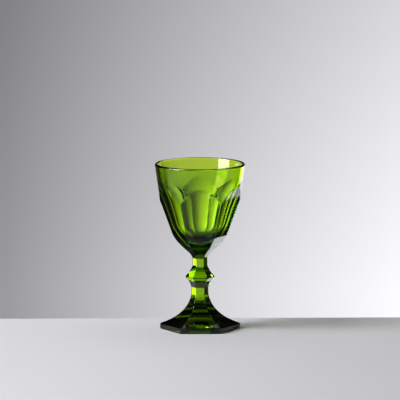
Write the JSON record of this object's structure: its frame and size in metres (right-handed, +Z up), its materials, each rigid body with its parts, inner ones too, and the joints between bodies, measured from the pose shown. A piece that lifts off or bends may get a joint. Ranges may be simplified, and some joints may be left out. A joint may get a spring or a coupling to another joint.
{
  "type": "wine glass",
  "caption": "Panelled wine goblet in clear green acrylic: round rim over arched flat panels, hexagonal stem with a ridged knop, hexagonal flared foot.",
  "frame": {"origin": "centre of the underside of the foot, on the axis of the glass", "axes": "+Z up along the axis of the glass, +X towards a corner of the hexagonal foot, -Y towards a flat side of the foot"},
  "size_m": [0.084, 0.084, 0.155],
  "materials": {
    "bowl_acrylic": "clear moulded acrylic tinted yellow-green all through, polished inside and out",
    "stem_acrylic": "clear moulded acrylic tinted yellow-green all through, polished flats with softened edges",
    "foot_acrylic": "clear moulded acrylic tinted yellow-green all through, polished, with a lightly rubbed underside",
    "clear_adhesive": "thin clear cured adhesive that matches the acrylic around it"
  },
  "bodies": {
    "root": {"foot": "foot_acrylic", "foot_bond": "clear_adhesive", "stem": "stem_acrylic", "bowl_bond": "clear_adhesive", "bowl": "bowl_acrylic"}
  },
  "joints": []
}
